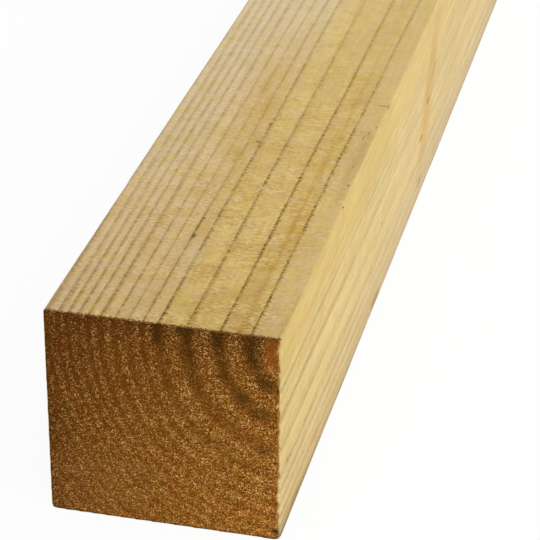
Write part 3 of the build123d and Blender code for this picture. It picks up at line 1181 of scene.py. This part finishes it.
# %% Marks on the ends
END_MARK_LENGTH = 3000.0
END_OVALS = [
    # across and up, half sizes the same way, strength, colour: first a paler lower left and a red corner,
    # then where the stain gathered in the late wood, and last painted shade in the nick and a painted
    # highlight above it
    (-24.0, 10.0, 24.0, 20.0, 0.04, "d29a58"),
    (35.5, 67.5, 5.0, 11.0, 0.3, "b46024"),
    (-1.6, 70.5, 2.8, 7.5, 0.55, "2e2108"),
    (7.0, 72.5, 5.5, 4.0, 0.5, "2e2108"),
    (8.2, 66.0, 2.8, 7.5, 0.25, "2e2108"),
    (17.6, 70.5, 2.8, 7.0, 0.5, "2e2108"),
    (28.8, 68.0, 3.0, 10.0, 0.5, "2e2108"),
    (30.6, 61.0, 2.6, 7.0, 0.35, "2e2108"),
    (32.8, 56.7, 3.2, 4.0, 0.5, "2e2108"),
    (19.6, 60.0, 2.4, 9.5, 0.3, "2e2108"),
    (25.2, 49.5, 3.4, 5.6, 0.36, "362608"),
    (30.5, 45.0, 4.6, 3.6, 0.45, "362608"),
    (32.0, 32.5, 5.2, 2.4, 0.4, "3e2808"),
    (10.5, 57.0, 2.2, 11.0, 0.3, "3e2808"),
    # painted shade in the nick, then a painted highlight above it
    (35.9, 2.7, 2.0, 1.1, 0.75, "4a2e0c"),
    (36.0, 4.5, 1.8, 0.7, 0.5, "cfa468"),
]
end_marks = [
    ((across, 0.0, up), (wide, END_MARK_LENGTH, high), 0.0, strength, code)
    for across, up, wide, high, strength, code in END_OVALS
]
print(len(end_marks), "marks on the ends")

# %% End grain from its layers
DARK_EARLY, CLEAR_EARLY, RED_LATE, GREEN_LATE = "44220a", "ac6a1e", "4c2a0c", "362307"
CLEAR_POWER = 0.5
PIT_MM, MOTTLE_MM = 0.3, 0.4
END_BUMP = 0.6
FIBRE_ROUGHNESS, GLINT_ROUGHNESS = 0.9, 0.7


def stained_end_grain():
    """The finish of the cut ends. Early wood is darker towards the upper left."""
    material, tree, read = start_finish(
        "stained_softwood_end_grain", END_PATTERNS_MM, END_RAGGED_MM, END_SHARES)
    clear = node(tree, "Math", {0: read["across"], 1: read["below"]}, operation="MULTIPLY")
    clear = node(tree, "Math", {0: clear, 1: CLEAR_POWER}, operation="POWER")
    early, late = (
        node(tree, "Mix", {0: share, 6: linear(first), 7: linear(second)}, 2, data_type="RGBA")
        for share, first, second in ((clear, DARK_EARLY, CLEAR_EARLY), (read["wide"], RED_LATE, GREEN_LATE)))
    band, smooth = end_arcs(tree, read)
    colour = node(tree, "Mix", {0: band, 6: early, 7: late}, 2, data_type="RGBA")
    colour, glints = speckled(tree, read, colour, smooth)
    colour = marked(tree, read, colour, end_marks)
    colour = edged(tree, read, colour)

    # Relief in millimetres, and glinting fibres a little smoother
    height = node(tree, "Math", {0: read["pits"], 1: PIT_MM}, operation="MULTIPLY")
    height = node(tree, "Math", {0: read["mottle"], 1: MOTTLE_MM, 2: height}, operation="MULTIPLY_ADD")
    bump = node(tree, "Bump", {"Height": height, "Distance": MM, "Strength": END_BUMP})
    dull = node(tree, "MapRange", {0: glints, 1: 0.0, 2: 1.0, 3: FIBRE_ROUGHNESS, 4: GLINT_ROUGHNESS})
    wood = node(tree, "BsdfPrincipled", {
        "Base Color": colour, "Roughness": dull, "IOR": WOOD_IOR, "Specular IOR Level": 0.0, "Normal": bump})
    node(tree, "OutputMaterial", {"Surface": wood})
    return material


mesh.materials.append(stained_end_grain())
print("ends:", mesh.materials[END].name)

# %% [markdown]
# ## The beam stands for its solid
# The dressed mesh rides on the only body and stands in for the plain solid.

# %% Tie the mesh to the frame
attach(beam, "root")
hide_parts("timber_beam")
print(beam.name, "rides on root")

# %% [markdown]
# ## Floor and light
# The photo is a plain product shot on white. A pale floor takes a soft shadow, and part of what the camera
# sees of it is its own glow, so that it reads as white without more light on the wood. A soft sun stands for
# a large lamp to the right, and the sky fills in the rest. An area lamp would do as well, but its light would
# fall off along the beam.

# %% Floor
FLOOR_SIZE, FLOOR_BELOW = 14.0, 0.0002
FLOOR_GLOW = 0.93


def seen_rays(tree):
    """1 for the rays that show what stands behind: from the camera, a gloss or a clear piece."""
    rays = tree.nodes.new("ShaderNodeLightPath").outputs
    seen = rays["Is Camera Ray"]
    for kind in ("Is Glossy Ray", "Is Transmission Ray"):
        seen = node(tree, "Math", {0: seen, 1: rays[kind]}, operation="MAXIMUM")
    return seen


floor_mesh = bpy.data.meshes.new("studio_floor")
half = FLOOR_SIZE / 2
corners = [(-half, -half, 0), (half, -half, 0), (half, half, 0), (-half, half, 0)]
floor_mesh.from_pydata(corners, [], [(0, 1, 2, 3)])
floor = bpy.data.objects.new("studio_floor", floor_mesh)
floor.location.z = LOW[2] - FLOOR_BELOW
bpy.context.scene.collection.objects.link(floor)
paint = bpy.data.materials.new("studio_floor_white")
paint.use_nodes = True
tree = paint.node_tree
tree.nodes.clear()
matt = node(tree, "BsdfDiffuse", {"Color": linear("f6f6f6")})
glow = node(tree, "Emission", {"Color": linear("ffffff"), "Strength": 1.0})
part = node(tree, "Math", {0: seen_rays(tree), 1: FLOOR_GLOW}, operation="MULTIPLY")
mixed = node(tree, "MixShader", {0: part, 1: matt, 2: glow})
node(tree, "OutputMaterial", {"Surface": mixed})
floor_mesh.materials.append(paint)
print("floor of", FLOOR_SIZE, "m")

# %% Light
SKY = 0.55
SUN = 2.0
SUN_SOFTNESS = math.radians(70)
SUN_FROM = Vector((0.62, -0.28, 0.62))

scene = bpy.context.scene
scene.view_settings.view_transform = "Standard"
world = bpy.data.worlds.new("studio_sky")
scene.world = world
world.use_nodes = True
tree = world.node_tree
tree.nodes.clear()
strength = node(tree, "MapRange", {0: seen_rays(tree), 1: 0.0, 2: 1.0, 3: SKY, 4: 1.0})
sky = node(tree, "Background", {"Color": linear("ffffff"), "Strength": strength})
node(tree, "OutputWorld", {"Surface": sky})
sun = bpy.data.objects.new("soft_sun", bpy.data.lights.new("soft_sun", "SUN"))
sun.data.energy = SUN
sun.data.angle = SUN_SOFTNESS
sun.rotation_euler = SUN_FROM.to_track_quat("Z", "Y").to_euler()
scene.collection.objects.link(sun)
print("sky", SKY, "sun", SUN)
